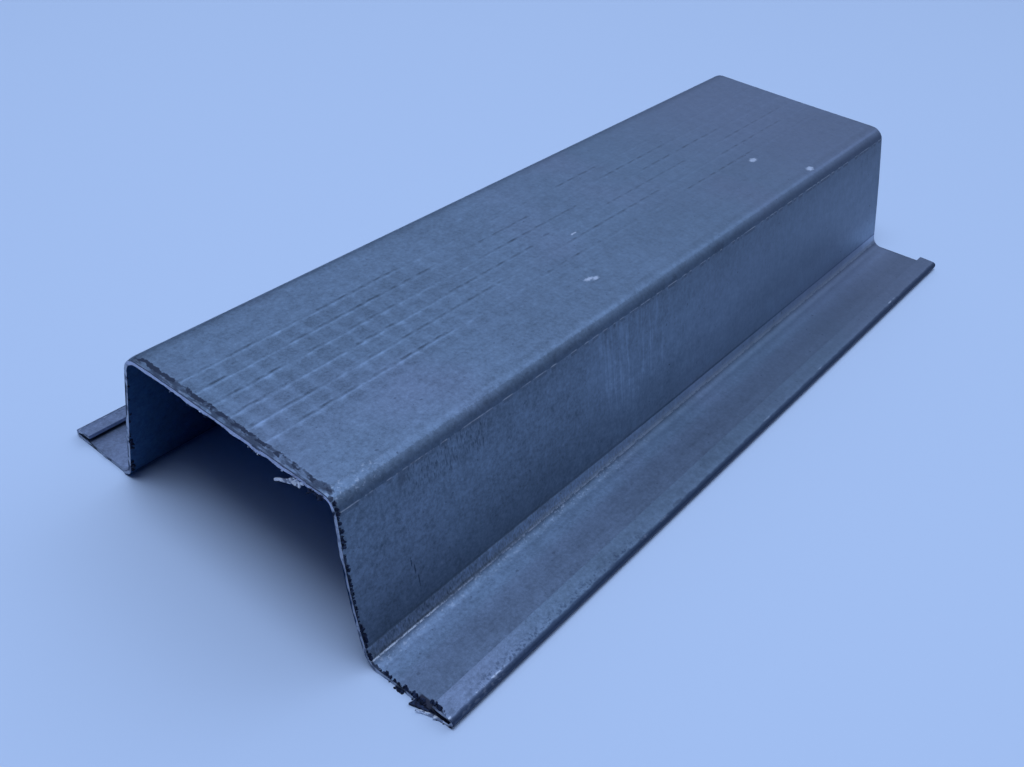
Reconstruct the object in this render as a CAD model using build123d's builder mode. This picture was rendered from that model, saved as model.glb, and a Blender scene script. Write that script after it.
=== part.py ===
"""Hat channel: a short sawn length of roll-formed galvanised steel furring channel.

One strip of thin sheet is bent into a flat crown, two walls that lean outwards and two flanges.
The free edge of each flange is folded back on top of it as an open hem, and the crown carries a
band of lines pressed lengthwise through the sheet, which keep screws from skating.
Millimetres. X runs along the channel, Y across it and Z up. The origin is under the middle of
the channel, on the level that its flanges stand on.
"""

import os
from math import cos, radians, sin, tan

from build123d import *

# The strip, and the outside sizes that it is rolled to
sheet = 0.5
length = 132.5
overall_width = 68.0
crown_width = 35.0
depth = 22.0
wall_lean = 12.0

# Inside radius of the four long bends
bend_radius = 1.8

# Open hem: width from the flange's edge, inside radius of its fold, and how far it springs open
hem_width = 3.2
hem_fold_radius = 0.15
hem_spring_back = 7.0

# Band of pressed lines: how many, how far apart, and how far the band sits from the middle
line_count = 6
line_pitch = 2.92
band_offset = 1.7

# One pressed line: radius of its two shoulders and of its bottom, and how steep its sides get
line_shoulder_radius = 0.9
line_bottom_radius = 0.4
line_slope = 28.0

# Places on the upper face of the sheet, from the middle of the hat: where the hem's fold begins,
# and where the faces of flange, wall and crown would meet if the bends were sharp
fold_outer_radius = hem_fold_radius + sheet
fold_start = overall_width / 2 - fold_outer_radius
shoulder_corner = crown_width / 2
foot_corner = shoulder_corner + (depth - sheet) * tan(radians(wall_lean))

# The hem's flap runs on from its fold, and still rises by the angle it has sprung back
hem_flap = (hem_width - fold_outer_radius) / cos(radians(hem_spring_back))

# The band is as wide as its pressed lines and the plain strips between them
line_width = 2 * (line_shoulder_radius + line_bottom_radius) * sin(radians(line_slope))
band_width = (line_count - 1) * line_pitch + line_width

with BuildPart() as hat_channel:
    with BuildSketch(Plane.YZ.offset(-length / 2)) as section:
        with BuildLine():
            # Flange, wall and crown up to the band, then the hem at the flange's free edge
            for side in (1, -1):
                web = FilletPolyline(
                    (side * fold_start, sheet),
                    (side * foot_corner, sheet),
                    (side * shoulder_corner, depth),
                    (band_offset + side * band_width / 2, depth),
                    radius=(bend_radius, bend_radius + sheet),
                )
                fold = JernArc(web @ 0, (side, 0), hem_fold_radius, side * (180 - hem_spring_back))
                PolarLine(fold @ 1, hem_flap, direction=fold % 1)

            # The pressed lines, and the plain strip that follows each of them but the last
            for line in range(line_count):
                start = Vector(band_offset + band_width / 2 - line * line_pitch, depth)
                shoulder = JernArc(start, (-1, 0), line_shoulder_radius, line_slope)
                bottom = JernArc(shoulder @ 1, shoulder % 1, line_bottom_radius, -2 * line_slope)
                shoulder = JernArc(bottom @ 1, bottom % 1, line_shoulder_radius, line_slope)
                if line < line_count - 1:
                    Line(shoulder @ 1, start - Vector(line_pitch, 0))

            # The sheet's thickness lies below this line
            offset(amount=sheet, side=Side.LEFT)
        make_face()
    extrude(amount=length)

hat_channel.part.label = "hat_channel"

os.makedirs("parts", exist_ok=True)
export_step(hat_channel.part, "parts/hat_channel.step")
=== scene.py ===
from math import cos, radians, sin, tan
from random import Random

import bpy
from mathutils import Matrix, Vector, noise


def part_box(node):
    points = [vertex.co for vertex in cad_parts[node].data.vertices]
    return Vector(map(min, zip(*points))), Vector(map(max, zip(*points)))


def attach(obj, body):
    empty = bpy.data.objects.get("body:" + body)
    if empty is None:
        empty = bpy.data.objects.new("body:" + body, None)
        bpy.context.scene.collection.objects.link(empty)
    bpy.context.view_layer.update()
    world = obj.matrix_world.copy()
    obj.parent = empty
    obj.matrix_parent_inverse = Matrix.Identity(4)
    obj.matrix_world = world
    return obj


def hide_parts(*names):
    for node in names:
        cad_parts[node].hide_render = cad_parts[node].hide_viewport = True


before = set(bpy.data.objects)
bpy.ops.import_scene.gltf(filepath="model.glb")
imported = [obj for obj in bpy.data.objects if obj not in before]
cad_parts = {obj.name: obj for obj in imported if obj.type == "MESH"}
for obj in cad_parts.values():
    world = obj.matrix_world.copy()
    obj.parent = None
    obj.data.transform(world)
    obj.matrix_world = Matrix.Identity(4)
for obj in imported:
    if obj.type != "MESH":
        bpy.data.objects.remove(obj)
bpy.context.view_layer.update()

mm = 0.001
scene = bpy.context.scene
scene.view_settings.view_transform = "Standard"


# The bench: a plain, pale floor under cool daylight, and a camera above the near right corner.
# The room is dim near the horizon and behind the camera, and bright above the far side.

def material(name):
    """A new material, its node tree and its Principled shader."""
    made = bpy.data.materials.new(name)
    made.use_nodes = True
    return made, made.node_tree, made.node_tree.nodes["Principled BSDF"]


def put(kind, plugs=None, **settings):
    """Adds a node to the tree that is being made, sets it up, and links or fills its inputs."""
    made = tree.nodes.new(kind)
    for name, value in settings.items():
        setattr(made, name, value)
    for socket, value in (plugs or {}).items():
        if isinstance(value, bpy.types.NodeSocket):
            tree.links.new(value, made.inputs[socket])
        else:
            made.inputs[socket].default_value = value
    return made


def tint(share, under, over):
    """Mixes the colour over into the colour under."""
    return put("ShaderNodeMix", {0: share, 6: under, 7: over}, data_type="RGBA").outputs[2]


def rise(value, start, end):
    """Rises smoothly from 0 to 1 as the value goes from start to end."""
    plugs = {"Value": value, "From Min": start, "From Max": end}
    return put("ShaderNodeMapRange", plugs, interpolation_type="SMOOTHSTEP").outputs["Result"]


def select_nothing():
    bpy.ops.object.select_all(action="DESELECT")


daylight = (0.57, 0.72, 1.0)
floor_size = 4.0
floor_colour = (0.60, 0.69, 0.84, 1.0)
dome_glow = (0.48, 0.61, 0.85, 1.0)
dim_glow = (0.001, 0.011, 0.055, 1.0)
dim_up_to, bright_from = 0.42, 0.84
far_side = (0.42, 0.12, 1.0)

select_nothing()
bpy.ops.mesh.primitive_plane_add(size=floor_size)
floor = bpy.context.object
floor.name = "bench_floor"
paper, tree, shader = material("bench_floor")
shader.inputs["Base Color"].default_value = floor_colour
shader.inputs["Roughness"].default_value = 0.6
shader.inputs["Specular IOR Level"].default_value = 0.2
floor.data.materials.append(paper)

world = bpy.data.worlds.new("room")
scene.world = world
world.use_nodes = True
tree = world.node_tree
direction = put("ShaderNodeTexCoord").outputs["Generated"]
height = put("ShaderNodeVectorMath", {0: direction, 1: far_side}, operation="DOT_PRODUCT").outputs["Value"]
glow = tint(rise(height, dim_up_to, bright_from), dim_glow, dome_glow)
tree.links.new(glow, tree.nodes["Background"].inputs["Color"])


def softbox(name, place, size, energy):
    """A square lamp that faces the middle of the bench."""
    lamp = bpy.data.lights.new(name, "AREA")
    lamp.size = size
    lamp.energy = energy
    lamp.color = daylight
    box = bpy.data.objects.new(name, lamp)
    scene.collection.objects.link(box)
    box.location = place
    box.rotation_euler = (-box.location).to_track_quat("-Z", "Y").to_euler()


softbox("overhead_lamp", place=(-0.115, 0.03, 0.84), size=0.44, energy=3.6)
softbox("far_right_lamp", place=(0.45, -0.15, 0.55), size=0.35, energy=0.4)

camera_place = Vector((-114.81, -75.01, 94.63)) * mm
camera_heading = Vector((0.63724, 0.47666, -0.60558))
camera_roll = radians(4.744)

view = bpy.data.cameras.new("camera")
view.sensor_width = 36.0
view.lens = 36.767
view.clip_start = 0.01
view.clip_end = 20.0
camera = bpy.data.objects.new("camera", view)
scene.collection.objects.link(camera)
turn = camera_heading.to_track_quat("-Z", "Y").to_matrix() @ Matrix.Rotation(camera_roll, 3, "Z")
camera.matrix_world = Matrix.Translation(camera_place) @ turn.to_4x4()
scene.camera = camera


# The channel: one strip of thin galvanised sheet, roll-formed into a hat with an open hem along
# each free edge. A knurled roll has pressed lines into its crown, with rows of low square pads
# between them, and a coarse saw has cut both ends.

sheet = 0.5 * mm
crown_width = 35.0 * mm
wall_lean = radians(12.0)
bend_radius = 1.8 * mm
hem_width = 3.05 * mm
hem_fold_radius = 0.15 * mm
hem_spring_back = radians(7.0)
rim_height = 0.025 * mm
box_slack = 0.02 * mm

# The knurled roll: its lines, the steps that model one row of it, and its square pads
row_count = 6
row_pitch = 2.92 * mm
first_line = 9.0 * mm
row_steps = (0.03, 0.04, 0.06, 0.07, 0.10, 0.22, 0.24, 0.12, 0.05, 0.04, 0.03)
lead_in = row_steps[-4:]
pad_pitch = 3.03 * mm
pad_columns = 8
first_pad = -0.28 * mm

plain_steps = 3
bend_steps = 6
wall_steps = 6
flange_steps = 3
fold_steps = 6
flap_steps = 3

# The cuts wander within the solid's length, so they start this far inside its ends
near_allowance = 0.79 * mm
far_allowance = 0.55 * mm

low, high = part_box("hat_channel")
near_cut, far_cut = low.x + near_allowance, high.x - far_allowance
crown_level = high.z - rim_height
seed_start = near_cut + first_pad - pad_pitch
pad_count = int((far_cut - seed_start) / pad_pitch) + 1
seed_edge = first_line + sum(lead_in) * row_pitch

shoulder_radius = bend_radius + sheet
bend_turn = radians(90) - wall_lean
bend_setback = tan(bend_turn / 2)
rise_of_wall = crown_level - sheet
shoulder_start = crown_width / 2 - shoulder_radius * bend_setback
foot_end = crown_width / 2 + rise_of_wall * tan(wall_lean) + bend_radius * bend_setback
wall_length = rise_of_wall / cos(wall_lean) - (shoulder_radius + bend_radius) * bend_setback
fold_start = high.y - sheet - hem_fold_radius - box_slack
fold_turn = radians(180) - hem_spring_back
flap_length = (hem_width - sheet - hem_fold_radius) / cos(hem_spring_back)


def select_edges(test):
    """Selects the edges of the edited mesh whose two ends pass the test."""
    bpy.ops.mesh.select_all(action="DESELECT")
    bpy.ops.object.mode_set(mode="OBJECT")
    mesh = bpy.context.object.data
    for edge in mesh.edges:
        edge.select = test(*(mesh.vertices[end].co for end in edge.vertices))
    bpy.ops.object.mode_set(mode="EDIT")


def run_out(steps, y, z=0.0):
    """Carries the selected edge on by y and z, in equal steps."""
    for _ in range(steps):
        bpy.ops.mesh.extrude_region_move(TRANSFORM_OT_translate={"value": (0, y / steps, z / steps)})


def bend(steps, turn, y, z):
    """Carries the selected edge round a line along the channel at y and z."""
    bpy.ops.mesh.spin(steps=steps, angle=turn, center=(0, y, z), axis=(1, 0, 0))


# One repeat of the knurled roll, from a plain strip of the crown out to both hems
select_nothing()
bpy.ops.mesh.primitive_plane_add(size=pad_pitch, enter_editmode=True)
channel = bpy.context.object
channel.name = "hat_channel_sheet"
middle = seed_edge + pad_pitch / 2
bpy.ops.mesh.select_mode(type="EDGE")
bpy.ops.transform.translate(value=(seed_start + pad_pitch / 2, middle, crown_level))
select_edges(lambda a, b: a.y == b.y)
bpy.ops.mesh.subdivide(number_cuts=pad_columns - 1)

for side in (1, -1):
    select_edges(lambda a, b: side * (a.y - middle) > 0 and side * (b.y - middle) > 0)
    if side > 0:
        reached = seed_edge + pad_pitch
    else:
        for step in lead_in + row_steps * row_count:
            run_out(1, -step * row_pitch)
        reached = first_line - row_count * row_pitch
    run_out(plain_steps, side * shoulder_start - reached)
    bend(bend_steps, side * bend_turn, side * shoulder_start, crown_level - shoulder_radius)
    run_out(wall_steps, side * wall_length * sin(wall_lean), -wall_length * cos(wall_lean))
    bend(bend_steps, -side * bend_turn, side * foot_end, sheet + bend_radius)
    run_out(flange_steps, side * (fold_start - foot_end))
    bend(fold_steps, -side * fold_turn, side * fold_start, sheet + hem_fold_radius)
    run_out(flap_steps, -side * flap_length * cos(hem_spring_back), flap_length * sin(hem_spring_back))
bpy.ops.object.mode_set(mode="OBJECT")

# The mill's repeats, joined into a length, and the saw's two cuts
hair = 0.01 * mm
cut_threshold = 0.001 * mm
repeat = channel.modifiers.new("repeat", "ARRAY")
repeat.count = pad_count
repeat.use_relative_offset = False
repeat.use_constant_offset = True
repeat.constant_offset_displace = (pad_pitch, 0, 0)
repeat.use_merge_vertices = True
repeat.merge_threshold = hair
bpy.ops.object.modifier_apply(modifier="repeat")

bpy.ops.object.mode_set(mode="EDIT")
for cut, beyond in ((near_cut, False), (far_cut, True)):
    bpy.ops.mesh.select_all(action="SELECT")
    bpy.ops.mesh.bisect(
        plane_co=(cut, 0, 0),
        plane_no=(1, 0, 0),
        clear_outer=beyond,
        clear_inner=not beyond,
        threshold=cut_threshold,
    )
bpy.ops.mesh.select_all(action="SELECT")
bpy.ops.mesh.normals_make_consistent(inside=True)
bpy.ops.object.mode_set(mode="OBJECT")

# How deep the roll has pressed, and how unevenly: shares of a row, lengths along the channel
line_depth = 0.04 * mm
line_wobble = 0.05
wobble_length = 1.6 * mm
line_lead = 0.24
faint = 0.20
worn_away = 0.50
pressing, pressing_varies, pressing_length = 0.85, 0.90, 1.3 * mm
rim_share, rim_varies, rim_length = 0.75, 1.10, 1.7 * mm
pad_dish = 0.022 * mm
pad_edge = (0.50, 0.86)
gap_edge = (0.55, 0.90)
pads_worn = (-48 * mm, -12 * mm)
# Painted shade in each pad, and a painted highlight on the rim beside each line
pad_shade = 0.36
rim_gleam = 1.40

# Where each line is pressed in well: from and to, in millimetres along the channel
run_end = 0.4
pressed_runs = (
    ((-57.3, -53.2), (-44.0, -30.0), (4.0, 15.0)),
    ((-63.6, -59.6), (-51.2, -47.8), (-47.0, -26.0), (-18.0, -6.0), (12.0, 30.0)),
    ((-63.8, -54.6), (-50.6, -47.6), (-44.2, -36.0), (-20.0, 2.0), (20.0, 44.0)),
    ((-62.8, -58.6), (-49.6, -47.4), (-45.6, -39.0), (-30.0, -12.0), (6.0, 28.0), (40.0, 60.0)),
    ((-63.8, -61.2), (-59.8, -53.6), (-46.4, -44.2), (-42.4, -22.0), (-8.0, 16.0), (34.0, 56.0)),
    ((-60.0, -50.4), (-48.0, -46.4), (-44.0, -36.0), (-16.0, -4.0), (18.0, 40.0)),
)


def smooth(value, start, end):
    """Rises smoothly from 0 at start to 1 at end."""
    t = max(0.0, min(1.0, (value - start) / (end - start)))
    return t * t * (3 - 2 * t)


def bump(value, middle, half_width):
    """Rises to 1 at its middle, and is 0 beyond its half width."""
    return 1 - smooth(abs(value - middle), 0, half_width)


def rows_past(y):
    """How many rows a place lies past the nearest line."""
    rows = (first_line - y) / row_pitch
    return rows - round(rows)


def knurl(x, y):
    """What the roll has left on the crown here: its line, its shallow square pad and its rim."""
    wobble = noise.noise((x / wobble_length, y / row_pitch, 9.0))
    rows = (first_line - y) / row_pitch + line_wobble * wobble
    if rows < -line_lead or rows > row_count:
        return 0.0, 0.0, 0.0
    line = round(rows)
    along = abs(2 * (((x - near_cut - first_pad) / pad_pitch) % 1) - 1)
    gap = smooth(along, *gap_edge)
    worn = 1 - worn_away * (x - near_cut) / (far_cut - near_cut)
    pads_left = 1 - 0.9 * smooth(x, *pads_worn)
    groove = 0.0
    rim = 0.0
    if line < row_count:
        run = max(
            smooth(x / mm, start - run_end, start + run_end) * smooth(x / mm, end + run_end, end - run_end)
            for start, end in pressed_runs[line]
        )
        past = rows - line
        pressed_in = pressing + pressing_varies * noise.noise((x / pressing_length, 5.3 * line, 4.0))
        groove = max(faint, run) * (1 - (0.92 - 0.10 * pads_left) * gap) * max(0.0, pressed_in)
        groove *= smooth(past, -line_lead, -0.05) if past < -0.04 else 1 - smooth(past, -0.01, 0.05)
        uneven = max(0.0, rim_share + rim_varies * noise.noise((x / rim_length, 3.1 * line, 0.0)))
        rim = uneven * (0.46 * bump(past, 0.12, 0.09) + 0.65 * gap * bump(past, 0.14, 0.13))
    row = min(row_count - 1, max(0, int(rows)))
    across = abs(2 * (rows - row) - 1)
    fade = 1 - smooth(rows, row_count - 0.45, row_count - 0.05)
    dish = fade * (1 - smooth((along ** 4 + across ** 4) ** 0.25, *pad_edge)) * (rows >= 0)
    return worn * groove, pads_left * dish, (0.12 + 0.88 * pads_left) * min(1, rim)


# How far the saw has dragged the crown's edge down, and how far each cut drifts along the channel
lip = 1.1 * mm
lip_drop = 0.30 * mm
drift_reach = 4.0 * mm
wall_drift = 0.55 * mm
left_drift = 0.15 * mm
left_drift_from = shoulder_start - 3 * mm
flap_set_back = 0.15 * mm
flange_set_back = 0.12 * mm
far_wall_drift = 0.30 * mm
far_hem_drift = 0.50 * mm
hem_closing = (0.20, 0.75)
flap_level = sheet + 2 * hem_fold_radius
flap_edge = high.y - hem_width

pressed = channel.data.attributes.new("knurled", "FLOAT", "POINT")
from_saw = channel.data.attributes.new("from_saw", "FLOAT", "POINT")
for vertex in channel.data.vertices:
    x, y, z = vertex.co
    out = abs(y)
    right = y < 0
    from_saw.data[vertex.index].value = (x - near_cut) / mm
    if z > crown_level - hair:
        groove, dish, rim = knurl(x, y)
        vertex.co.z -= line_depth * groove + pad_dish * dish - rim_height * rim
        # The knurled value is painted shade on each line and pad, and a painted highlight on each rim
        dark = groove * (rows_past(y) > -0.08)
        pressed.data[vertex.index].value = dark + pad_shade * dish - rim_gleam * rim

    # The saw wandered: the right wall stands out past the crown, and the hem's flap is set back
    up_wall = sin(radians(180) * min(1, max(0, z / crown_level))) if out > shoulder_start else 0.0
    past_foot = max(0.0, (out - foot_end) / (high.y - foot_end))
    before_foot = past_foot == 0
    flap = smooth(z, flap_level - 0.1 * mm, flap_level) * smooth(out, flap_edge - 0.3 * mm, flap_edge)
    flap *= past_foot > 0
    near_share = 1 - smooth(x, near_cut, near_cut + drift_reach)
    far_share = smooth(x, far_cut - drift_reach, far_cut)
    if right:
        vertex.co.x -= near_share * wall_drift * up_wall * before_foot
        vertex.co.x += near_share * flange_set_back * smooth(past_foot, 0, 0.3)
        vertex.co.x += near_share * flap_set_back * flap * (high.y - out) / hem_width
        vertex.co.x += far_share * (far_wall_drift * up_wall * before_foot + far_hem_drift * past_foot)
    else:
        vertex.co.x -= near_share * left_drift * smooth(out, left_drift_from, crown_width / 2) * before_foot
        vertex.co.x += far_share * far_wall_drift * min(1, 2 * out / crown_width) * (1 - past_foot)

    # Its teeth dragged the crown's edge down
    if z > crown_level - shoulder_radius:
        vertex.co.z -= lip_drop * max(0.0, 1 - (x - near_cut) / lip) ** 1.5

    # Towards its far end the right hem is pressed closer to the flange
    if right and out > flap_edge - 0.1 * mm and z > flap_level - hair:
        closing = hem_closing[0] + (hem_closing[1] - hem_closing[0]) * smooth(x, near_cut, far_cut)
        vertex.co.z -= closing * (z - flap_level)

# The sheet's thickness lies below the face that the rolls have left. Each vertex of its lower side
# follows the upper ones in their order, and at a cut it lies square behind its twin.
upper_side = len(channel.data.vertices)
thick = channel.modifiers.new("thickness", "SOLIDIFY")
thick.thickness = sheet
thick.offset = -1
thick.use_even_offset = True
bpy.ops.object.modifier_apply(modifier="thickness")
lower = channel.data.attributes.new("lower_side", "FLOAT", "POINT")
for vertex in channel.data.vertices:
    lower.data[vertex.index].value = vertex.index >= upper_side


def at_saw(index):
    """Whether a vertex lies on either sawn end."""
    reach = channel.data.attributes["from_saw"].data[index].value
    return abs(min(reach, (far_cut - near_cut) / mm - reach)) < hair / mm


at_ends = {vertex.index for vertex in channel.data.vertices if at_saw(vertex.index)}
for index in range(upper_side):
    if index in at_ends:
        channel.data.vertices[index + upper_side].co.x = channel.data.vertices[index].co.x

# Both cuts wander a little, and their arrises are ragged
long_edge = 1.2 * mm
rim_cuts = 4
wander = ((0.17 * mm, 3.6 * mm), (0.10 * mm, 1.3 * mm), (0.08 * mm, 0.35 * mm))
wander_mean = 0.4
sag = 0.22 * mm
sag_length = 2.4 * mm
sag_mean = 0.2
sag_above = crown_level - 2 * lip_drop - sheet
sharp_angle = radians(35)
bpy.ops.object.mode_set(mode="EDIT")
bpy.ops.mesh.select_all(action="DESELECT")
bpy.ops.object.mode_set(mode="OBJECT")
for edge in channel.data.edges:
    a, b = (channel.data.vertices[end].co for end in edge.vertices)
    edge.select = at_ends.issuperset(edge.vertices) and (a - b).length > long_edge
bpy.ops.object.mode_set(mode="EDIT")
bpy.ops.mesh.subdivide(number_cuts=rim_cuts)
bpy.ops.object.mode_set(mode="OBJECT")
for vertex in channel.data.vertices:
    if at_saw(vertex.index):
        x, y, z = vertex.co
        inward = 1 if x < 0 else -1
        for depth, length in wander:
            vertex.co.x += inward * depth * (wander_mean + noise.noise((10 * inward, y / length, z / length)))
        if z > sag_above and inward > 0:
            vertex.co.z -= sag * max(0, noise.noise((3.0, y / sag_length, 0)) + sag_mean)
bpy.ops.object.shade_smooth_by_angle(angle=sharp_angle)

# Its finish: dull zinc, mottled and faintly streaked along the mill, rubbed in lines by the
# rolls, scuffed dark beside the near cut and marked by handling, with painted shade and painted
# highlights in places. Each mask below is 1 where its thing is and 0 elsewhere, and every place
# and length in it is in millimetres.

def number(operation, a, b=0.0, c=0.0):
    """One sum on numbers or sockets."""
    return put("ShaderNodeMath", {0: a, 1: b, 2: c}, operation=operation).outputs[0]


def linear(value, slope, base):
    """The base, plus slope times the value."""
    return number("MULTIPLY_ADD", value, slope, base)


def all_of(first, *others):
    """Where all of the masks meet, each of which may be a plain share."""
    for other in others:
        first = number("MULTIPLY", first, other)
    return first


def any_of(first, *others):
    """Where any of the masks is."""
    for other in others:
        first = number("MAXIMUM", first, other)
    return first


def between(value, start, end, soft):
    """1 between start and end, and 0 beyond them."""
    return all_of(rise(value, start - soft, start), rise(value, end + soft, end))


def vary(value, pattern, weight):
    """The value, raised and lowered by a pattern about its mean of a half."""
    return linear(number("SUBTRACT", pattern, 0.5), weight, value)


def shade(tone, mask, change):
    """The tone, changed by a share where the mask is."""
    return number("MULTIPLY", tone, linear(mask, change, 1.0))


def vectors(operation, first, second):
    """One sum on two places."""
    return put("ShaderNodeVectorMath", {0: first, 1: second}, operation=operation).outputs[0]


def resized(vector, share):
    """A place or a colour, times one number."""
    return put("ShaderNodeVectorMath", {0: vector, "Scale": share}, operation="SCALE").outputs[0]


def millimetres():
    """The place on the piece in the channel's own frame, in millimetres."""
    return resized(put("ShaderNodeTexCoord").outputs["Object"], 1 / mm)


def cloud(scale, detail=2.0, stretch=(1, 1, 1)):
    """Noise about every 1 / scale millimetres at the place, stretched along the axes."""
    plugs = {"Vector": vectors("MULTIPLY", place, stretch), "Scale": scale, "Detail": detail}
    return put("ShaderNodeTexNoise", plugs).outputs["Fac"]


def stored(name):
    """A value that the mesh carries."""
    return put("ShaderNodeAttribute", attribute_name=name).outputs["Fac"]


def group(name, inputs, outputs):
    """An empty node group with named sockets, and its two end nodes."""
    made = bpy.data.node_groups.new(name, "ShaderNodeTree")
    for socket, kind in inputs.items():
        made.interface.new_socket(socket, in_out="INPUT", socket_type=kind)
    for socket, kind in outputs.items():
        made.interface.new_socket(socket, in_out="OUTPUT", socket_type=kind)
    return made, made.nodes.new("NodeGroupInput"), made.nodes.new("NodeGroupOutput")


# Zinc: how light each spot is against the mean, and how high it stands
zinc_sockets = {"Tone": "NodeSocketFloat", "Height": "NodeSocketFloat"}
zinc, given, result = group("zinc_bloom", {"Place": "NodeSocketVector"}, zinc_sockets)
tree = zinc
place = given.outputs["Place"]
patch = cloud(0.09, 3.0)
bloom = cloud(0.55, 3.0)
speckle = cloud(1.9, 3.0)
drawn = cloud(1.0, 3.0, (0.12, 2.2, 0.5))
tone = vary(1.0, patch, 0.35)
tone = vary(tone, bloom, 0.45)
tone = vary(tone, speckle, 0.60)
tone = vary(tone, drawn, 0.25)
tree.links.new(tone, result.inputs["Tone"])
tree.links.new(linear(drawn, 0.6, speckle), result.inputs["Height"])

# A mark: 1 in its middle, and 0 outside its three half sizes, with a ragged rim
mark_sockets = {name: "NodeSocketVector" for name in ("Place", "Middle", "Half Size")}
mark, given, result = group("handling_mark", mark_sockets, {"Mask": "NodeSocketFloat"})
tree = mark
place = given.outputs["Place"]
offset = vectors("SUBTRACT", place, given.outputs["Middle"])
offset = vectors("DIVIDE", offset, given.outputs["Half Size"])
far_off = put("ShaderNodeVectorMath", {0: offset}, operation="LENGTH").outputs["Value"]
tree.links.new(rise(vary(far_off, cloud(2.5), 1.2), 1.0, 0.35), result.inputs["Mask"])

zinc_colour = (0.180, 0.247, 0.345, 1)
violet_colour = (0.205, 0.243, 0.352, 1)
grey_colour = (0.196, 0.246, 0.303, 1)
bare_colour = (0.225, 0.250, 0.275, 1)
inside_shade_colour = (0.045, 0.160, 0.370, 1)
rubbed_and_highlight_colour = (0.52, 0.57, 0.68, 1)
crease_colour = (0.46, 0.43, 0.37, 1)
foot_highlight_colour = (0.86, 0.92, 1.0, 1)
dirt_and_shade_colour = (0.006, 0.015, 0.044, 1)
hem_shade_and_dirt_colour = (0.015, 0.036, 0.088, 1)
soot_and_shade_colour = (0.001, 0.004, 0.026, 1)

# Marks in the channel's own frame: middle, then half sizes
rubbed_marks = (
    ((36.5, -7.5, 22), (1.2, 0.7, 0.5)),
    ((40.8, -15.7, 22), (1.1, 0.7, 0.5)),
    ((-5.1, -1.6, 22), (0.9, 0.22, 0.5)),
    ((-13.5, -10.5, 22), (1.0, 0.45, 0.5)),
    ((-12.6, -11.0, 22), (0.9, 0.45, 0.5)),
    ((-29.2, -33.55, 1.0), (1.1, 0.24, 0.4)),
    ((-24.6, -33.55, 1.0), (1.4, 0.22, 0.4)),
    ((-64.3, -33.25, 0.95), (0.30, 0.26, 0.3)),
    ((-63.3, -33.25, 0.95), (0.36, 0.22, 0.3)),
)
dirt_marks = (
    ((-8.3, 0.9, 22), (1.2, 0.3, 0.5)),
    ((8.9, -18.0, 20.9), (2.4, 1.0, 0.9)),
    ((-2.9, -17.8, 20.9), (0.7, 0.7, 0.5)),
    ((-56.6, -18.1, 19.4), (0.9, 0.9, 1.3)),
    ((-62.8, -26.7, 0.5), (0.3, 0.22, 0.4)),
    ((-60.7, -25.0, 0.5), (0.25, 0.2, 0.4)),
    ((-49.6, -10.2, 22), (0.25, 0.2, 0.4)),
    ((-57.2, -15.0, 22), (0.25, 0.2, 0.4)),
    ((65.6, 17.0, 21.8), (0.9, 0.9, 0.8)),
    ((-21.0, -33.2, 1.2), (1.6, 0.35, 0.4)),
    ((-30.5, -33.7, 1.2), (1.6, 0.35, 0.4)),
    ((-36.0, -33.4, 1.2), (0.8, 0.30, 0.4)),
    ((-12.8, -31.7, 1.2), (0.3, 0.25, 0.4)),
    ((-5.1, -28.6, 0.5), (0.3, 0.25, 0.4)),
    ((-38.6, -26.5, 0.5), (0.3, 0.25, 0.4)),
)
scratch_marks = (
    ((-57.3, -20.2, 8.9), (0.13, 2.0, 0.8)),
    ((-56.95, -20.4, 7.8), (0.15, 2.0, 0.9)),
    ((-56.6, -20.9, 6.2), (0.11, 2.0, 1.1)),
)

galvanised, tree, shader = material("galvanised_sheet")
place = millimetres()
axes = put("ShaderNodeSeparateXYZ", {0: place}).outputs
along = axes["X"]
leftwards = axes["Y"]
up = axes["Z"]
out = number("ABSOLUTE", leftwards)
from_cut = stored("from_saw")
surface = put("ShaderNodeGroup", {"Place": place}, node_tree=zinc).outputs
grain = cloud(2.6, 3.0)
fine = cloud(6.0, 2.0)
ragged = linear(fine, 0.5, -0.25)

# Where things are: the sheet's two sides, the crown's face, the wall and its bends, the flange
# and its hem
inside = all_of(stored("lower_side"), rise(out, 30.5, 30.3))
outside = number("SUBTRACT", 1.0, inside)
on_crown = all_of(rise(up, 21.25, 21.45), rise(out, 16.6, 16.2))
on_wall = all_of(between(up, 2.7, 20.3, 0.15), rise(out, 15.5, 16.0), outside)
on_bend = rise(linear(ragged, 0.5, up), 21.68, 21.60)
on_bend = all_of(on_bend, rise(out, 16.5, 16.9), rise(up, 20.3, 20.36), outside)
beside_foot = all_of(rise(out, 24.0, 23.6), outside)
over_foot = number("ADD", up, linear(rise(along, -50.0, 0.0), 0.40, -2.8))
on_foot = rise(linear(ragged, 0.8, over_foot), 0.10, -0.15)
on_foot = all_of(on_foot, rise(up, 1.05, 1.15), beside_foot)
low_down = rise(up, 1.15, 1.05)
on_flange = all_of(rise(out, 22.0, 22.3), low_down)
on_left_flange = all_of(rise(leftwards, 21.5, 22.5), outside)
hem_from = high.y / mm - hem_width / mm
above_flange = rise(up, 0.6, 0.7)
on_hem = all_of(rise(out, hem_from - 0.1, hem_from + 0.02), above_flange)
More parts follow.
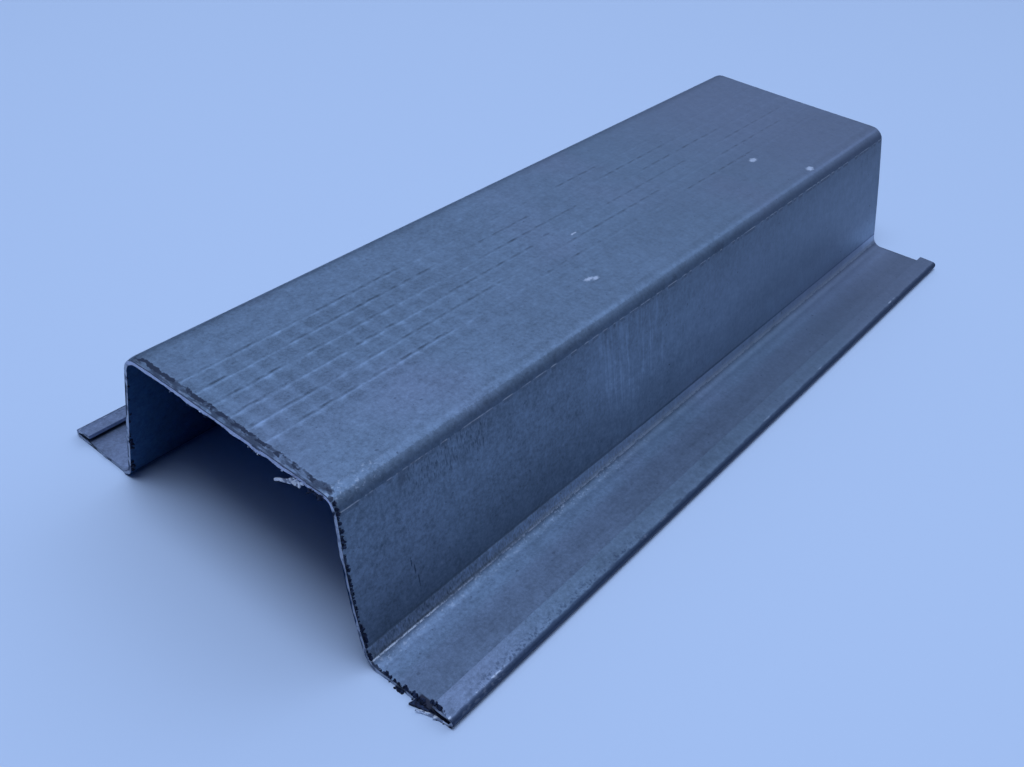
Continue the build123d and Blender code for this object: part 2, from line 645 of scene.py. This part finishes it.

# The bloom is finer and weaker towards the far end. The roll's squares and lines carry painted
# shade and its rims a painted highlight, and the walls are brushed upright.
bloom_left = linear(rise(along, 45.0, -25.0), 0.60, 0.40)
sharp = linear(rise(along, 20.0, -60.0), 0.44, 0.05)
tone = linear(number("ADD", surface["Tone"], -1.0), bloom_left, 1.0)
tone = shade(tone, stored("knurled"), -0.38)
tone = vary(tone, fine, sharp)
tone = vary(tone, grain, sharp)
tone = vary(tone, cloud(1.0, 4.0, (2.4, 0.5, 0.45)), all_of(on_wall, 0.20))
tone = vary(tone, cloud(1.3, 4.0), all_of(on_wall, sharp))
hairs = all_of(between(along, -19.0, -8.0, 5.0), on_wall, between(up, 9.0, 19.0, 3.0))
hairs = all_of(hairs, rise(cloud(1.0, 3.0, (1.6, 0.3, 0.12)), 0.50, 0.64))
lifted = linear(rise(along, 5.0, 30.0), -0.14, 0.20)

# Where the zinc is lighter or darker than the rest, and by what share; some of it is painted light and shade
shades = (
    (hairs, 0.22),
    # Painted light: lower down, the walls are lighter, and more so away from the near cut
    (all_of(on_wall, rise(up, 9.0, 3.0)), 0.08),
    (all_of(on_wall, rise(up, 17.0, 9.0), rise(along, -40.0, -5.0)), lifted),
    (all_of(on_wall, rise(up, 8.0, 3.5), rise(along, -50.0, -25.0)), 0.16),
    (all_of(on_wall, rise(up, 10.0, 4.0), rise(along, 5.0, 30.0)), 0.17),
    # Painted shade: darker towards the top of the wall, under the shoulder bend
    (all_of(on_wall, rise(up, 15.0, 20.5)), -0.12),
    (all_of(on_crown, rise(along, -20.0, 35.0)), -0.08),
    (all_of(on_crown, rise(along, 20.0, 60.0)), -0.06),
    (all_of(on_crown, rise(leftwards, -1.0, -8.0), rise(along, -45.0, -20.0)), -0.07),
    # Painted shade along the crown's edges and in the shoulder bends
    (all_of(rise(out, 14.6, 15.8), rise(up, 21.6, 21.7), outside), -0.10),
    (on_bend, -0.13),
    (all_of(on_bend, rise(up, 21.7, 20.6)), -0.19),
    (on_foot, linear(rise(along, -62.0, -28.0), 0.82, 0.80)),
    (all_of(on_foot, rise(along, -12.0, 35.0)), -0.14),
)
for mask, change in shades:
    tone = shade(tone, mask, change)
scratched = all_of(on_foot, rise(along, 10.0, -45.0), 3.4)
tone = vary(tone, cloud(2.6, 4.0, (1.8, 0.7, 0.7)), scratched)
foot_and_flange_shades = (
    (all_of(on_foot, rise(up, 1.45, 1.25)), linear(rise(along, -50.0, -25.0), 0.18, -0.40)),
    (all_of(rise(out, 25.0, 23.2), low_down, rise(along, -62.0, -35.0)), -0.16),
    # Painted reflection: the flanges are lighter beside the walls, which they reflect, and darker further out
    (all_of(on_flange, rise(out, 24.0, 30.0)), -0.24),
    (all_of(on_flange, between(out, 26.0, 28.0, 1.6)), -0.10),
    (all_of(on_flange, rise(along, -50.0, -15.0)), -0.14),
    (all_of(on_hem, rise(leftwards, 0.0, -1.0)), linear(rise(along, -62.0, -25.0), -0.22, -0.10)),
    (on_left_flange, 0.22),
    # Painted shade inside the channel
    (inside, -0.18),
)
for mask, change in foot_and_flange_shades:
    tone = shade(tone, mask, change)

# The edges of the rolls have drawn a broken bright line down each wall, and round each foot a
# painted highlight runs along the bend
broken = rise(cloud(0.9, 3.0, (1, 0.2, 0.2)), 0.44, 0.56)
worn_thin = linear(cloud(0.35, 2.0), 1.6, -0.25)
crease = all_of(between(up, 20.29, 20.37, 0.05), broken, outside, worn_thin, rise(fine, 0.28, 0.45), 0.85)
near_crease = all_of(between(up, 19.9, 20.22, 0.08), broken, outside)
line_top = linear(rise(along, -40.0, -58.0), -0.03, linear(ragged, 0.22, up))
foot_highlight = all_of(rise(up, 0.97, 1.01), rise(line_top, 1.13, 1.08), between(out, 21.7, 22.9, 0.1), outside)
foot_highlight = all_of(foot_highlight, linear(rise(along, 10.0, -50.0), 0.34, 0.58))
foot_highlight = all_of(foot_highlight, rise(number("ADD", fine, cloud(1.2, 3.0)), 0.84, 1.06))
near_foot_highlight = all_of(foot_highlight, rise(along, -48.0, -60.0))
foot_shade = all_of(between(over_foot, 0.05, 0.25, 0.2), linear(rise(along, -60.0, 0.0), 0.05, 0.28))
foot_shade = all_of(foot_shade, beside_foot, rise(along, 38.0, 8.0))

# White brushing beside the foot's line, and painted glints along the crown's right edge, close to the near
# cut
glints_and_brushing = all_of(between(leftwards, -17.2, -15.9, 0.7), rise(up, 20.9, 21.3), rise(along, -56.0, -60.0))
glints_and_brushing = any_of(glints_and_brushing, all_of(on_flange, rise(along, -5.0, -28.0), rise(out, 24.0, 22.4)))
glints_and_brushing = all_of(glints_and_brushing, rise(cloud(2.6, 4.0, (0.8, 1, 1)), 0.55, 0.70))

# The saw has scuffed and blackened a strip of the crown beside its near cut and scraped some of it
# bare again. A thin dark fringe along the right side's cut is dirt and painted shade, and the mouth
# of the right hem, under its flap, is painted black for soot and shade
wavy = linear(cloud(0.7, 3.0), 0.9, linear(grain, 0.45, number("ADD", from_cut, -0.675)))
band = all_of(rise(wavy, 1.18, 1.05), on_crown)
dragged = rise(cloud(0.9, 3.0, (3.0, 0.5, 1.0)), 0.42, 0.55)
smeared = rise(cloud(0.62, 3.0, (1.2, 1, 1)), 0.45, 0.53)
lumpy = linear(cloud(0.8, 3.0), -1.9, linear(grain, 0.5, from_cut))
fringe = all_of(rise(lumpy, -0.42, -0.52), outside, rise(leftwards, -15.5, -16.5))
scuff_and_shade = any_of(
    all_of(band, linear(dragged, 0.56, 0.18)),
    all_of(between(wavy, 0.62, 1.10, 0.08), on_crown, smeared, 0.97),
    all_of(between(from_cut, 0.03, 0.18, 0.05), on_crown, 0.85),
    all_of(fringe, 0.92),
)
scraped = all_of(band, rise(from_cut, 0.75, 0.3), rise(cloud(1.3, 3.0, (3.0, 0.8, 1)), 0.52, 0.62))
recess = all_of(between(leftwards, -33.2, -28.9, 0.3), rise(up, 0.9, 0.7), rise(from_cut, 1.1, 0.9), outside)

# The fold of each hem is chipped bright on top, darkened on its outer side by dirt and painted
# shade, in painted shade below, and speckled near the front
chips = all_of(rise(out, 33.12, 33.3), rise(up, 0.85, 1.0), rise(cloud(1.3, 3.0, (0.6, 1, 1)), 0.52, 0.60))
chips = all_of(chips, any_of(rise(cloud(0.12, 2.0), 0.62, 0.74), rise(along, -55.0, -58.0)))
hem_edge = linear(cloud(1.1, 4.0, (0.6, 1, 1)), 0.45, out)
speckled = all_of(rise(out, 31.9, 33.0), above_flange, between(along, -58.0, -32.0, 6.0))
speckled = all_of(speckled, rise(cloud(2.4, 4.0), 0.50, 0.62), 0.6)
hem_dirt_and_shade = any_of(all_of(rise(hem_edge, 33.50, 33.85), rise(out, 32.9, 33.1)), speckled)
under_fold_shade = all_of(rise(out, 33.2, 33.55), rise(up, 0.85, 0.6))

# Dark streaks high on the wall beside the near cut, and spots all over
streaks = all_of(between(along, -55.0, -44.0, 3.0), between(up, 17.5, 19.8, 2.0), on_wall)
streaks = all_of(streaks, rise(cloud(2.2, 4.0, (2.4, 0.5, 0.5)), 0.52, 0.66))
spots = rise(cloud(1.5, 2.0), 0.70, 0.78)


def marked(marks):
    """Where any of the marks in a list is."""
    mask = 0.0
    for middle, half_size in marks:
        plugs = {"Place": place, "Middle": middle, "Half Size": half_size}
        mask = any_of(mask, put("ShaderNodeGroup", plugs, node_tree=mark).outputs["Mask"])
    return mask


# Rubbed and scraped marks, chips and the walls' crease lines, with painted highlights along the feet and the
# crown's right edge
rubbed_and_highlit = any_of(marked(rubbed_marks), crease, foot_highlight)
rubbed_and_highlit = any_of(rubbed_and_highlit, all_of(chips, 0.85), all_of(glints_and_brushing, 0.45), all_of(scraped, 0.3))
# Dirt, with the painted shade of the hems' folds, the walls' feet and the fringe at the cut
dirt_and_shade = any_of(all_of(marked(dirt_marks), 0.42), scuff_and_shade, all_of(spots, 0.5), all_of(near_crease, 0.28))
dirt_and_shade = any_of(dirt_and_shade, all_of(hem_dirt_and_shade, 0.45), all_of(under_fold_shade, 0.95), foot_shade)
dirt_and_shade = any_of(dirt_and_shade, all_of(streaks, 0.6), all_of(marked(scratch_marks), 0.75))

violet = any_of(
    all_of(rise(cloud(0.035, 2.0), 0.46, 0.66), 0.55),
    all_of(rise(along, 15.0, 55.0), 0.75),
    all_of(on_left_flange, 0.9),
    all_of(on_flange, rise(out, 24.5, 26.5), 0.4),
    all_of(on_hem, rise(along, -45.0, -60.0), 0.65),
)
colour = tint(violet, zinc_colour, violet_colour)
# The inside of the channel is painted dark blue for the shade in it
colour = tint(all_of(inside, 0.85), colour, inside_shade_colour)
colour = tint(any_of(all_of(on_bend, 0.25), all_of(on_wall, 0.75)), colour, grey_colour)
colour = tint(all_of(on_foot, 0.58), colour, bare_colour)
colour = resized(colour, tone)
colour = tint(rubbed_and_highlit, colour, rubbed_and_highlight_colour)
colour = tint(all_of(crease, 0.8), colour, crease_colour)
# A painted highlight along the foot's bend, whitest near the cut
colour = tint(all_of(near_foot_highlight, 0.75), colour, foot_highlight_colour)
# The dark colour paints dirt and shade alike
colour = tint(dirt_and_shade, colour, dirt_and_shade_colour)
# Painted shade, with some dirt, on the outer side and underneath of each hem's fold
colour = tint(all_of(any_of(hem_dirt_and_shade, under_fold_shade), 0.55), colour, hem_shade_and_dirt_colour)
# The mouth of the right hem is painted black for soot and shade
colour = tint(recess, colour, soot_and_shade_colour)
dull = any_of(dirt_and_shade, recess, near_foot_highlight)
rough = linear(cloud(0.9, 3.0), 0.22, 0.40)
rough = linear(any_of(dirt_and_shade, all_of(on_bend, 0.6)), 0.2, rough)
relief = {"Strength": all_of(bloom_left, 0.35), "Distance": 0.02 * mm, "Height": surface["Height"]}
tree.links.new(colour, shader.inputs["Base Color"])
tree.links.new(linear(dull, -0.8, 0.9), shader.inputs["Metallic"])
tree.links.new(rough, shader.inputs["Roughness"])
tree.links.new(put("ShaderNodeBump", relief).outputs["Normal"], shader.inputs["Normal"])

# The sawn faces: bare bright steel, dragged and dirty, and lit along the crown
sawn_colour = (0.38, 0.41, 0.48, 1)
sawn_dirt = (0.14, 0.16, 0.22, 1)
sawn_lit = (0.50, 0.52, 0.66, 1)
sawn, tree, shader = material("sawn_steel")
place = millimetres()
drag = cloud(0.9, 4.0)
lit = rise(put("ShaderNodeSeparateXYZ", {0: place}).outputs["Z"], 20.6, 21.0)
colour = tint(rise(drag, 0.50, 0.62), sawn_colour, sawn_dirt)
colour = tint(all_of(lit, 0.75), colour, sawn_lit)
tree.links.new(colour, shader.inputs["Base Color"])
shader.inputs["Metallic"].default_value = 0.8
tree.links.new(linear(drag, 0.3, 0.25), shader.inputs["Roughness"])

# The faces that look along the channel are the sawn ones
looks_along = 0.8
channel.data.materials.append(galvanised)
channel.data.materials.append(sawn)
for face in channel.data.polygons:
    face.material_index = abs(face.normal.x) > looks_along

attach(channel, "root")
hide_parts("hat_channel")

# Burrs: the coarse saw has torn the near cut's arrises into clumps of dark curled flakes, and has
# bent a tongue of the right flange out from under its hem. Their black is soot and painted shade.
# One flake is modelled, and its copies hang along the right wall, the foot, the flange and under
# the crown.

flake_width = 0.24 * mm
flake_step = 0.06 * mm
flake_steps = 2
flake_curl = radians(30)
flake_taper = 0.78
flake_sheet = 0.09 * mm
crumple = 0.4
crumple_length = 0.6
root_spread = 0.2
root_depth = 0.06
draw = Random(11)


def flake(name, width, step, steps, curl, taper, thickness):
    """A torn flake: it grows out of its root along y, narrows, and curls towards z."""
    select_nothing()
    bpy.ops.mesh.primitive_plane_add(size=width, enter_editmode=True)
    made = bpy.context.object
    made.name = name
    bpy.ops.mesh.select_mode(type="EDGE")
    bpy.ops.transform.translate(value=(0, width / 2, 0))
    select_edges(lambda a, b: min(a.y, b.y) > width / 2)
    for turn in range(1, steps + 1):
        forward = {"value": (0, step * cos(turn * curl), step * sin(turn * curl))}
        bpy.ops.mesh.extrude_region_move(TRANSFORM_OT_translate=forward)
        bpy.ops.transform.resize(value=(taper, 1, 1))
    bpy.ops.object.mode_set(mode="OBJECT")
    other = Vector((7, 0, 0))
    for vertex in made.data.vertices:
        vertex.co.x += crumple * width * noise.noise(vertex.co / (crumple_length * width))
        vertex.co.z += crumple * width * noise.noise(vertex.co / (crumple_length * width) + other)
    thick = made.modifiers.new("thickness", "SOLIDIFY")
    thick.thickness = thickness
    thick.offset = 0
    bpy.ops.object.modifier_apply(modifier="thickness")
    return made


def hang(pattern, root, grow, curl_to, size):
    """A copy of a flake, with its root at a place and grown and curled along two directions."""
    grow = grow.normalized()
    across = grow.cross(curl_to).normalized()
    turn = Matrix((across, grow, across.cross(grow))).transposed().to_4x4()
    made = bpy.data.objects.new(pattern.name, pattern.data.copy())
    made.data.transform(Matrix.Translation(root) @ turn @ Matrix.Diagonal((*size, 1)))
    scene.collection.objects.link(made)
    return made


def skin_depth(y, z):
    """How far a place lies outside the wall's outer face, across the channel."""
    return abs(y) - crown_width / 2 - (crown_level - z) * tan(wall_lean)


def scatter(pattern, count, rim, away, back, longest):
    """Hangs flakes from places drawn along a rim; away points out of the sheet, back is along x."""
    hung = []
    for _ in range(count):
        root = draw.choice(rim).copy()
        root.y += draw.uniform(-root_spread, root_spread) * mm * (abs(away.z) > 0.5)
        root.z += draw.uniform(-root_spread, root_spread) * mm * (abs(away.z) < 0.5)
        root.x += draw.uniform(0.0, root_depth) * mm
        grow = away * draw.uniform(0.2, 0.9) + Vector((draw.uniform(*back), 0, 0))
        grow += away.cross(Vector((1, 0, 0))) * draw.uniform(-0.5, 0.5)
        size = draw.uniform(0.5, longest)
        curl_to = Vector((draw.uniform(-1, 1), 0.3, 0.5))
        hung.append(hang(pattern, root, grow, curl_to, (size * draw.uniform(0.7, 1.3), size, size)))
    return hung


def joined(name, pieces, pattern):
    """Joins the copies into one piece, and keeps it within the saw's furthest reach."""
    select_nothing()
    for piece in pieces:
        piece.select_set(True)
    bpy.context.view_layer.objects.active = pieces[0]
    bpy.ops.object.join()
    made = bpy.context.object
    made.name = name
    for vertex in made.data.vertices:
        vertex.co.x = max(vertex.co.x, low.x + box_slack)
        vertex.co.z = min(max(vertex.co.z, hair), crown_level)
    bpy.data.objects.remove(pattern)
    return made


def around(rim, axis, middle, reach):
    """The places of a rim that lie within reach of a middle along y (1) or z (2)."""
    return [p for p in rim if abs(p[axis] - middle * mm) < reach * mm]


# The stretches of the near cut's rim that burrs hang from
half = sheet / 2
rim = [v.co.copy() for v in channel.data.vertices if v.co.x < 0 and at_saw(v.index)]
wall_rim = [p for p in rim if p.y < 0 and 1.5 * mm < p.z < 20.8 * mm and skin_depth(p.y, p.z) > -half]
shoulder_skin = -0.45 * sheet - 0.4 * mm
shoulder_rim = [p for p in rim if p.y < -16.6 * mm and p.z > 19.6 * mm]
shoulder_rim = [p for p in shoulder_rim if skin_depth(p.y, p.z) > shoulder_skin]
foot_rim = [p for p in rim if -foot_end < p.y < -21.6 * mm and 0.4 * mm < p.z < 2 * mm]
foot_rim = [p for p in foot_rim if skin_depth(p.y, p.z) > -half]
right_rim = wall_rim + shoulder_rim + foot_rim
flange_rim = [p for p in rim if -flap_edge < p.y < -foot_end and half < p.z < sheet + 0.05 * mm]
flange_under = [p for p in rim if p.y < -foot_end and p.z < half]
flap_rim = [p for p in rim if p.y < -flap_edge + 0.4 * mm and p.z > 1.1 * mm]
left_rim = [p for p in rim if p.y > 0 and 1 * mm < p.z < 20 * mm and skin_depth(p.y, p.z) < -half]
crown_under = [p for p in rim if abs(p.y) < 16 * mm and 20.6 * mm < p.z < 21.45 * mm]

wall_out = Vector((0, -cos(wall_lean), sin(wall_lean)))
upwards = Vector((0, 0, 1))
rightwards = Vector((0, -1, 0))
down_and_back = -upwards - Vector((0.5, 0, 0))

# Clumps on the right wall's outer arris: height, half height, flakes and their largest size
wall_clumps = (
    (20.9, 0.9, 26, 1.5),
    (19.4, 0.6, 10, 1.3),
    (17.3, 1.0, 22, 1.4),
    (13.6, 0.7, 14, 1.3),
    (11.6, 1.2, 12, 0.9),
    (9.0, 0.6, 8, 0.9),
    (6.0, 0.5, 12, 1.6),
    (4.2, 1.5, 34, 1.4),
    (1.8, 0.7, 14, 1.4),
)
# Clumps on the flange's upper arris: y, half width, flakes and their largest size
flange_clumps = (
    (-24.4, 0.6, 12, 1.3),
    (-25.6, 0.5, 6, 1.0),
    (-27.0, 0.6, 12, 1.3),
    (-28.7, 0.8, 26, 1.6),
)

dark_flake = flake("flake", flake_width, flake_step, flake_steps, flake_curl, flake_taper, flake_sheet)
dark = scatter(dark_flake, 60, wall_rim, wall_out, (0.2, 0.9), 0.7)
for middle, reach, count, largest in wall_clumps:
    dark += scatter(dark_flake, count, around(right_rim, 2, middle, reach), wall_out, (0.3, 1.2), largest)
for middle, reach, count, largest in flange_clumps:
    dark += scatter(dark_flake, count, around(flange_rim, 1, middle, reach), upwards, (0.4, 1.4), largest)
right_crown_under = [p for p in crown_under if p.y < -13.5 * mm]
further_back = -upwards - Vector((0.6, 0, 0))
for count, places, away, back, largest in (
    (26, flange_rim, upwards, (0.2, 0.8), 0.7),
    (18, around(flange_under, 1, -26.5, 0.7), down_and_back, (-0.5, -0.1), 1.7),
    (10, flange_under, further_back, (-0.6, -0.1), 0.8),
    (26, around(flap_rim, 1, -31.6, 0.9), upwards, (0.3, 1.2), 1.5),
    (16, left_rim, rightwards, (0.0, 0.8), 0.9),
    (14, around(left_rim, 2, 6.5, 0.8), rightwards, (0.2, 1.0), 1.5),
    (14, around(left_rim, 2, 2.5, 0.9), rightwards, (0.2, 1.0), 1.5),
    (26, crown_under, -upwards, (-0.3, 0.5), 0.9),
    (22, right_crown_under, -upwards, (-0.4, 0.3), 2.0),
):
    dark += scatter(dark_flake, count, places, away, back, largest)

# The tongue under the hem: its upper side is black for soot and painted shade, and its torn rim is
# bright
tongue_root = Vector((-65.0, -33.75, 0.20)) * mm
tongue_tip = Vector((-66.06, -28.45, 0.20)) * mm
tongue_width = 1.1 * mm
tongue_sheet = 0.34 * mm
tongue_bow = 0.55 * mm
tongue_slant = 0.25 * mm
tongue_tear = 0.10 * mm
tongue_wave = 0.05 * mm
tongue_cuts = 11
pattern_size = 2 * mm

select_nothing()
bpy.ops.mesh.primitive_plane_add(size=pattern_size, enter_editmode=True)
tongue = bpy.context.object
tongue.name = "tongue"
bpy.ops.mesh.select_mode(type="EDGE")
bpy.ops.mesh.subdivide(number_cuts=tongue_cuts)
bpy.ops.object.mode_set(mode="OBJECT")
for vertex in tongue.data.vertices:
    reach = 0.5 + vertex.co.y / pattern_size
    inward = 0.5 + vertex.co.x / pattern_size
    vertex.co = tongue_root.lerp(tongue_tip, reach)
    vertex.co.x += tongue_bow * reach * (1 - reach)
    vertex.co.x += tongue_tear * noise.noise((reach * 14, 0, 0)) * (1 - inward)
    vertex.co.x += inward * tongue_width * (0.5 + 0.5 * reach)
    vertex.co.y -= tongue_slant * inward * reach
    vertex.co.z += tongue_wave * noise.noise((reach * 9, inward * 4, 3))
thick = tongue.modifiers.new("thickness", "SOLIDIFY")
thick.thickness = tongue_sheet
thick.offset = 0
bpy.ops.object.modifier_apply(modifier="thickness")
dark.append(tongue)

burrs = joined("saw_burrs", dark, dark_flake)
soot_and_shade, tree, shader = material("burr_soot_and_shade")
place = millimetres()
# The flakes' black stands for soot and for the shade among them
black, sooty_shade = (0.004, 0.008, 0.026, 1), (0.022, 0.036, 0.085, 1)
tree.links.new(tint(rise(cloud(3.0), 0.40, 0.65), black, sooty_shade), shader.inputs["Base Color"])
shader.inputs["Metallic"].default_value = 0.2
shader.inputs["Specular IOR Level"].default_value = 0.3
tree.links.new(linear(cloud(5.0), 0.3, 0.55), shader.inputs["Roughness"])
burrs.data.materials.append(soot_and_shade)
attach(burrs, "root")

# Slivers: bright steel that the saw has torn loose, two curls and a few crumbs under the crown,
# and the torn rim of the tongue. The narrow strip that they are bent from is modelled once.
strip_width = 0.34 * mm
strip_step = 0.25 * mm
strip_steps = 6
strip_curl = radians(5)
strip_taper = 0.96
strip_sheet = 0.16 * mm

crumb_rim = [p for p in crown_under if p.y > -8 * mm]
curl_rim = [p for p in crown_under if -13 * mm < p.y < -9 * mm]
bright_flake = flake("flake", flake_width, flake_step, flake_steps, flake_curl, flake_taper, flake_sheet)
bright = scatter(bright_flake, 6, curl_rim, -upwards, (-0.5, 0.2), 1.6)
bright += scatter(bright_flake, 4, crumb_rim, -upwards, (-0.4, 0.2), 0.7)

# Each strip's root, the way it grows, the way it curls, and its size
towards_eye = (-1.0, -0.2, 0.6)
forwards = (-1, 0, 0.3)
strip = flake("strip", strip_width, strip_step, strip_steps, strip_curl, strip_taper, strip_sheet)
for root, grow, curl_to, size in (
    ((-65.30, -12.35, 20.75), (-0.05, 1, -0.10), towards_eye, (1.7, 0.85, 1.0)),
    ((-65.40, -11.0, 20.40), (-0.10, 1, -0.34), towards_eye, (1.1, 1.2, 1.0)),
    ((-64.98, -33.75, 0.23), (-0.12, 1, 0), forwards, (0.9, 1.3, 0.9)),
    ((-65.30, -31.9, 0.23), (-0.24, 1, 0), forwards, (0.9, 1.4, 0.9)),
):
    bright.append(hang(strip, Vector(root) * mm, Vector(grow), Vector(curl_to), size))
bpy.data.objects.remove(strip)

slivers = joined("saw_slivers", bright, bright_flake)
silver, tree, shader = material("sliver_steel")
place = millimetres()
bare, stained = (0.88, 0.90, 0.96, 1), (0.26, 0.29, 0.38, 1)
tree.links.new(tint(rise(cloud(1.6, 3.0), 0.48, 0.60), bare, stained), shader.inputs["Base Color"])
shader.inputs["Metallic"].default_value = 0.35
tree.links.new(linear(cloud(4.0), 0.3, 0.20), shader.inputs["Roughness"])
slivers.data.materials.append(silver)
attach(slivers, "root")
